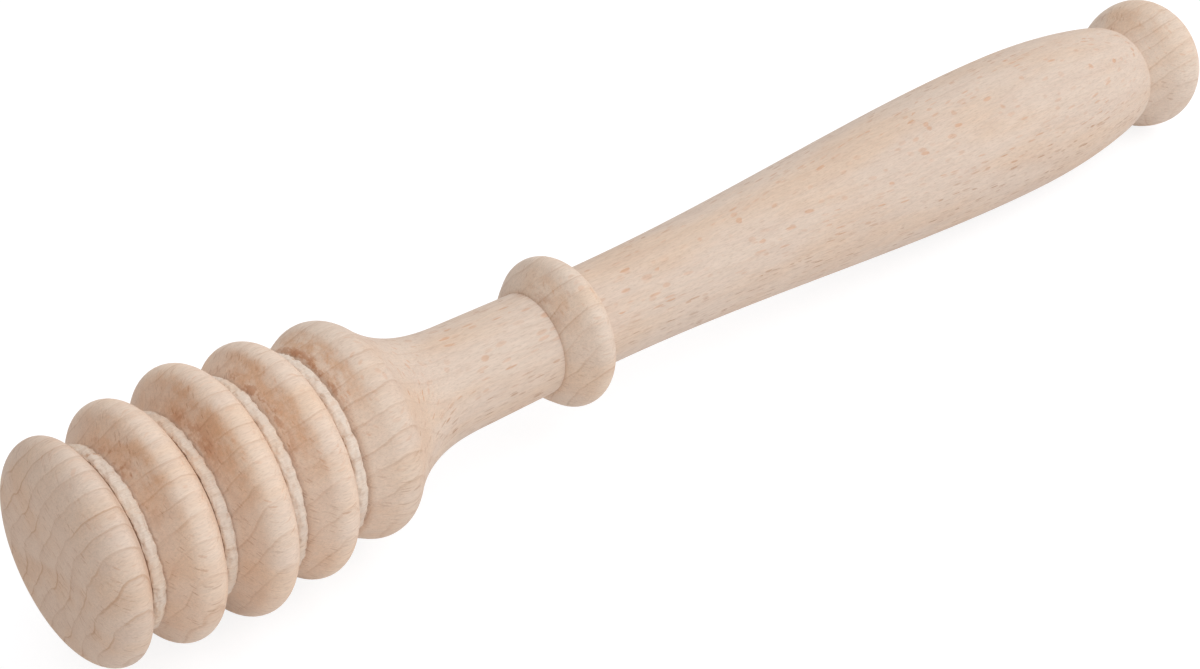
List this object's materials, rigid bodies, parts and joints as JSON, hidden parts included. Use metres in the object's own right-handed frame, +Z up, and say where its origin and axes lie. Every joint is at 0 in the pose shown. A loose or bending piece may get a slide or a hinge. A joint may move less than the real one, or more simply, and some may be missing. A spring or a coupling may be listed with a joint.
{
  "type": "honey dipper",
  "caption": "Turned wooden honey dipper with a ridged, barrel-shaped head, a slim neck with a collar, a swelling grip and an end knob.",
  "frame": {"origin": "centre of the footprint of the dipper as it lies on its side, at the height of the surface it rests on", "axes": "+X from the head to the end knob, +Z up; the turned axis slopes down by 1.8 degrees towards the knob"},
  "size_m": [0.16, 0.0244, 0.0245],
  "materials": {
    "beech_end_grain": "bare sanded beech, end grain and crests of the head",
    "beech_torn_grain": "bare beech torn rough at the groove floors",
    "beech_long_grain": "bare sanded beech with small ray flecks"
  },
  "bodies": {
    "root": {"front_ridge": "beech_end_grain", "groove_core_1": "beech_torn_grain", "ridge_2": "beech_end_grain", "groove_core_2": "beech_torn_grain", "ridge_3": "beech_end_grain", "groove_core_3": "beech_torn_grain", "ridge_4": "beech_end_grain", "groove_core_4": "beech_torn_grain", "shoulder": "beech_end_grain", "neck": "beech_long_grain", "collar": "beech_end_grain", "grip": "beech_long_grain", "end_knob": "beech_end_grain"}
  },
  "joints": []
}
